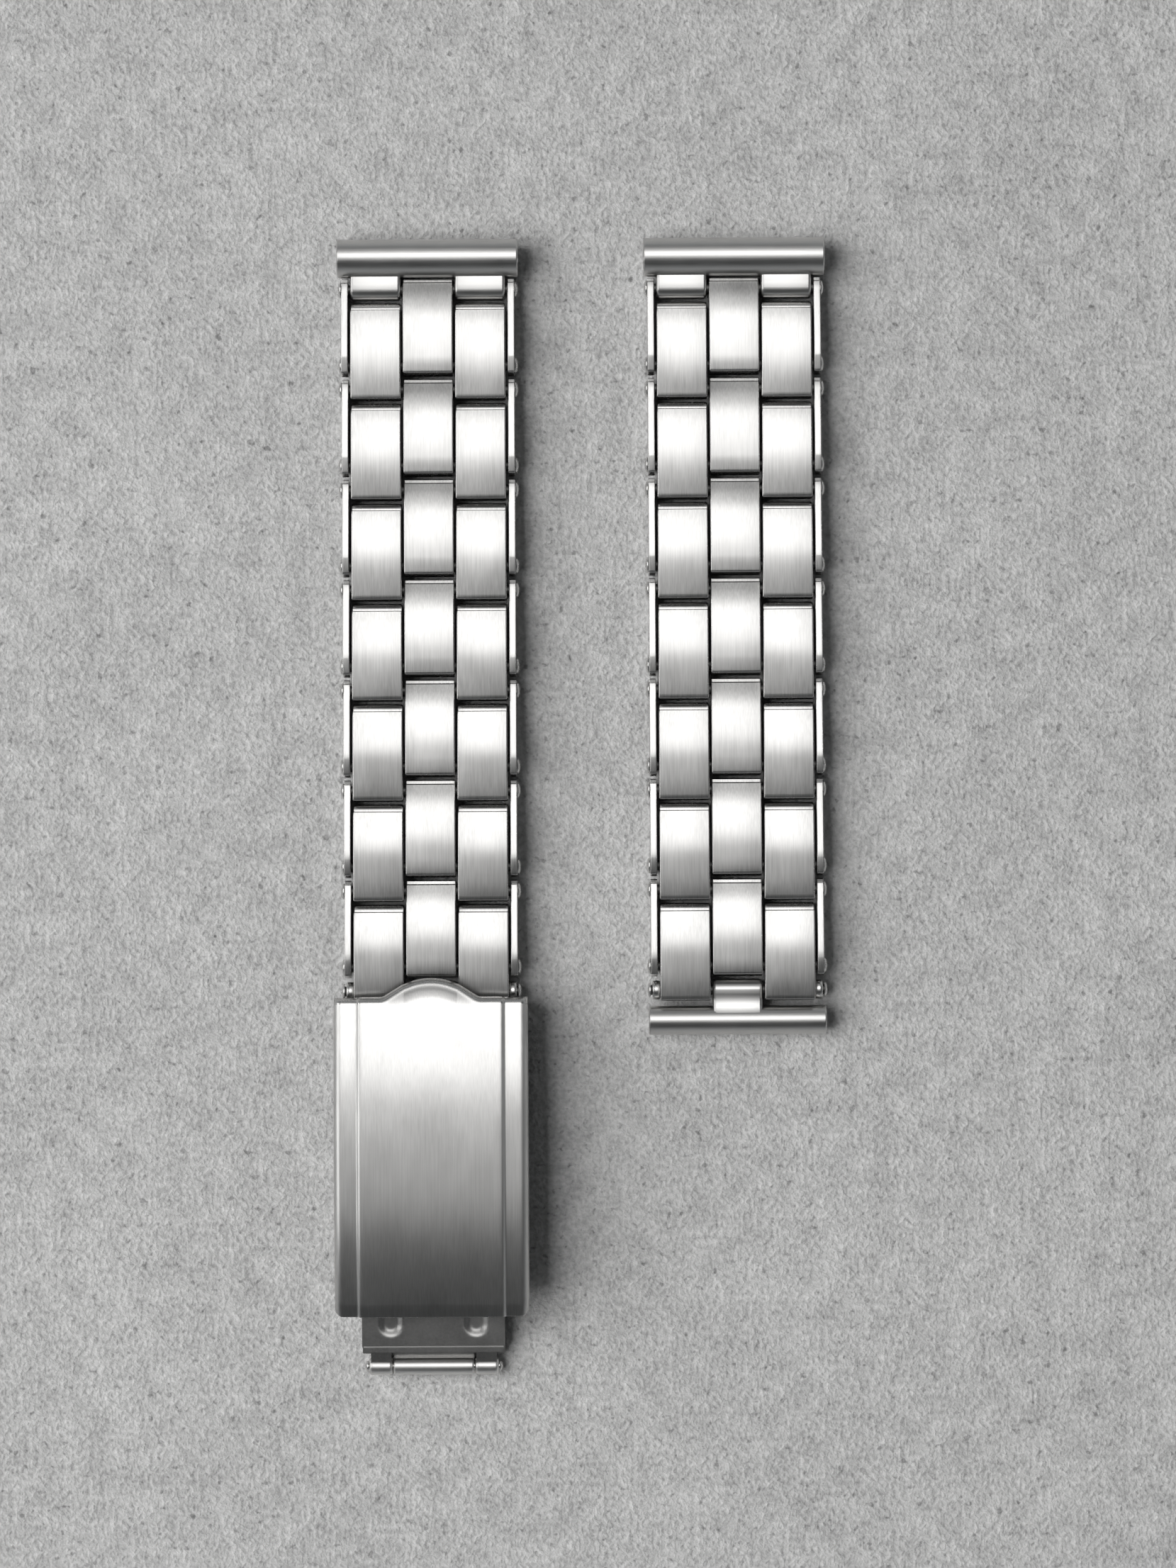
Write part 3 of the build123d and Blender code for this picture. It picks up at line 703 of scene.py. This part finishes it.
def lip_edge():
    """The cover's north edge as (x, y) points from left to right, with the lip in its middle."""
    bow, peak = 6.5, cover_north + 1.75
    turns = [radians(n) for n in range(-20, 21, 4)]
    top = [Vector((bow * sin(angle), peak - bow + bow * cos(angle))) for angle in turns]
    foot_at, knee = (4.75, cover_north), (2.85, cover_north + 1.12)
    right = eased(top[-2], knee, foot_at, 1.5, 4) + eased(knee, foot_at, (7, cover_north), 1.2, 6)
    left = [Vector((-x, y)) for x, y in reversed(right)]
    return left + top[1:-1] + right


def edge_columns():
    """Stations of the cover from left to right: x, the edge's y, its outward way and the rises."""
    edge = lip_edge()
    for n, point in enumerate(edge):
        along = (edge[min(n + 1, len(edge) - 1)] - edge[max(n - 1, 0)]).normalized()
        way = Vector((-along.y, along.x))
        yield point.x, point.y, way, panel_rise, point.x, panel_rise - cover_sheet


# Across the right side: x and rise of the outside, then x and rise of the inside.
sides = [(6.2, 0.3, 6.2, -0.25), (6.6, 0.29, 6.5, -0.25), (6.85, 0.27, 6.65, -0.26),
         (7.0, 0.235, 6.75, -0.28), (7.1, 0.17, 6.8, -0.32), (7.2, 0.07, 6.85, -0.42),
         (7.26, 0.02, 6.9, -0.52), (7.35, 0, 6.95, -0.55), (8.3, 0, 8.2, -0.55)]
inner_wall = cover_half_width - cover_wall
for n, angle in enumerate(pi / 2 * n / 7 for n in range(8)):
    x, fall = cover_half_width - cover_round * (1 - sin(angle)), cover_round * (1 - cos(angle))
    sides.append((x, -fall, min(x, inner_wall), -cover_sheet - 0.05 * n))
sides.append((cover_half_width, cover_foot - cover_top, inner_wall, cover_foot - cover_top))
flat = Vector((0, 1))
right = [(x, cover_north, flat, rise, inner_x, inner_rise) for x, rise, inner_x, inner_rise in sides]
left = [(-x, y, way, rise, -inner_x, low) for x, y, way, rise, inner_x, low in right[::-1]]
stations = left + list(edge_columns()) + right
roll, flare, flare_slope, rows_out, rows_in = 0.55, 0.22, radians(62), 30, 14
flare_fall = flare * tan(flare_slope)

# The rolled north edge: how far back and how far down its points lie, from its foot to the top.
rim = [(0, roll / 2 + flare_fall), (flare * 0.5, roll / 2 + flare_fall / 2)]
rim += [
    (flare + roll * (sin(radians(60)) - sin(radians(turned))), roll * (1 - cos(radians(turned))))
    for turned in range(60, -1, -12)
]
lip_reach, lip_blend, lip_fall, lip_depth = 5.0, 1.6, 0.3, 2.0

# Places back from the rolled edge, close together where the lip falls.
backs = [0.12, 0.28, 0.48, 0.75, 1.05, 1.4, 1.9, 2.6]
south_edge = ((0.03, 0.03), (0, 0.1))


def cover_section(x, edge_y, way, rise, inner_x, inner_rise):
    """The cover's closed section at a station: over the top from north to south, and back inside."""
    over = max(abs(x) - (cover_half_width - cover_corner), 0)
    south = cover_south + cover_corner - sqrt(max(cover_corner ** 2 - over ** 2, 0))
    height = cover_top + rise
    soft = min(max((rise + cover_round) / cover_round, 0), 1)
    near = min(max((lip_reach - abs(x)) / lip_blend, 0), 1)
    section = []
    for back, fall in rim:
        place = bent(x - way.x * back, edge_y - way.y * back, height - fall * soft)
        section.append((place[0], place[1], place[2] - lip_fall * near))
    start_x, start_y = x - way.x * rim[-1][0], edge_y - way.y * rim[-1][0]
    for back in backs + spaced(backs[-1], start_y - south - 0.1, rows_out - len(backs))[1:]:
        fall = lip_fall * near * max(1 - back / lip_depth, 0) ** 2
        section.append(bent(start_x, start_y - back, height - fall))
    section += [bent(start_x, south + out, height - down) for out, down in south_edge]
    for share in spaced(0, 1, rows_in):
        lowered = (rim[0][1] + cover_sheet - 0.35) * soft * max(share * rows_in - rows_in + 1, 0)
        inner_y = south + (edge_y - 0.02 - south) * share
        section.append(bent(inner_x, inner_y, cover_top + inner_rise - lowered * 0.4))
    return section


cover = Piece()
brushed_rows = range(len(rim) - 1, len(rim) - 1 + rows_out)
cover.rings(
    [cover_section(*station) for station in stations],
    lambda row, place: 0 if place in brushed_rows else 1,
)
cover.make("clasp_cover_stamped", "cover", "brushed_steel", (cover_brushed, bevelled),
           ("clasp_cover",), 35)


# Paper, light and camera
# The bracelet lies on plain pale grey paper and is seen from straight above. A large window on the
# left throws the shadows. Pale cards overhead, to the north and in the west only show in the steel.

floor_reach, camera_height = 0.6, 0.4
paper, shader, place = finish("grey_paper", 0.0)
shader.inputs["Specular IOR Level"].default_value = 0.2
fibre = place.noise((0.5, 0.5, 0.5), 3.0)
felt = place.noise((2.6, 2.6, 2.6), 5.0)
mottle = place.noise((18.0, 18.0, 18.0), 4.0)
flecks = place.noise((0.8, 0.8, 0.8), 2.0)
fleck = flecks.node("ShaderNodeMapRange", {"Value": flecks, "From Min": 0.12, "From Max": 0.2})
shade = fibre * 0.42 + felt * 0.27 + mottle * 0.12 - fleck * 0.15 + 0.43
feed(shader, "Base Color", grey(shade, (1.0, 0.995, 0.985)))
feed(shader, "Roughness", mottle * 0.1 + 0.9)
bump = shade.node("ShaderNodeBump", {"Height": fibre + felt, "Strength": 0.6, "Distance": 0.0004})
feed(shader, "Normal", bump)
corners = [(x * floor_reach, y * floor_reach, 0) for x, y in ((-1, -1), (1, -1), (1, 1), (-1, 1))]
sheet = bpy.data.meshes.new("paper")
sheet.from_pydata(corners, [], [(0, 1, 2, 3)])
sheet.materials.append(paper)
floor = bpy.data.objects.new("paper", sheet)
bpy.context.scene.collection.objects.link(floor)

world = bpy.data.worlds.new("studio")
world.use_nodes = True
room = world.node_tree.nodes["Background"]
room.inputs["Color"].default_value = (0.95, 0.98, 1.0, 1)
way = Wire(world.node_tree, world.node_tree.nodes.new("ShaderNodeTexCoord").outputs["Generated"])
height = way.node("ShaderNodeSeparateXYZ", {"Vector": way}, 2)
glow = height.node("ShaderNodeMapRange", {"Value": height, "From Min": 0.2, "From Max": 0.62,
                                          "To Min": 0.34, "To Max": 0.055})
world.node_tree.links.new(glow.socket, room.inputs["Strength"])
bpy.context.scene.world = world
bpy.context.scene.view_settings.view_transform = "Standard"


def soft_light(name, place, width, depth, radiance):
    """A rectangular soft light at a place, turned to the bracelet, with its sides along X and Y."""
    data = bpy.data.lights.new(name, "AREA")
    data.shape, data.size, data.size_y = "RECTANGLE", width, depth
    data.energy = radiance * width * depth * 4
    light = bpy.data.objects.new(name, data)
    away = Vector(place).normalized()
    side = Vector((0, 1, 0)).cross(away).normalized()
    light.matrix_basis = Matrix((side, away.cross(side), away)).transposed().to_4x4()
    light.location = place
    bpy.context.scene.collection.objects.link(light)
    return light


card_distance = 2.4


def card(name, south, north, sideways, width, radiance):
    """A far pale card that only shows as a reflection, between two angles north of straight up."""
    middle, spread = radians((south + north) / 2), radians((north - south) / 2)
    flat = cos(middle) * cos(radians(sideways))
    place = Vector((cos(middle) * sin(radians(sideways)), sin(middle), flat)) * card_distance
    made = soft_light(name, place, width, 2 * card_distance * tan(spread), radiance)
    made.visible_diffuse = False
    return made


window = soft_light("window", (-1.13, 0, 1.10), 1.75, 1.6, 4.0)
window.visible_glossy = False
card("north_card", 4, 27, 0, 2.1, 1.9)
card("sky_card", 26, 38, 0, 2.1, 0.78)
card("far_card", 38, 56, 0, 2.1, 0.28)
card("shelf_card", -10, 4, 0, 2.1, 0.47)
card("side_card", -11, 30, -55, 1.2, 1.7)

lens = bpy.data.cameras.new("camera")
lens.lens, lens.sensor_width = 92.6, 36.0
camera = bpy.data.objects.new("camera", lens)
camera.location = (0.75 * mm, 2.26 * mm, camera_height)
camera.rotation_euler = (0, 0, radians(-0.33))
bpy.context.scene.collection.objects.link(camera)
bpy.context.scene.camera = camera
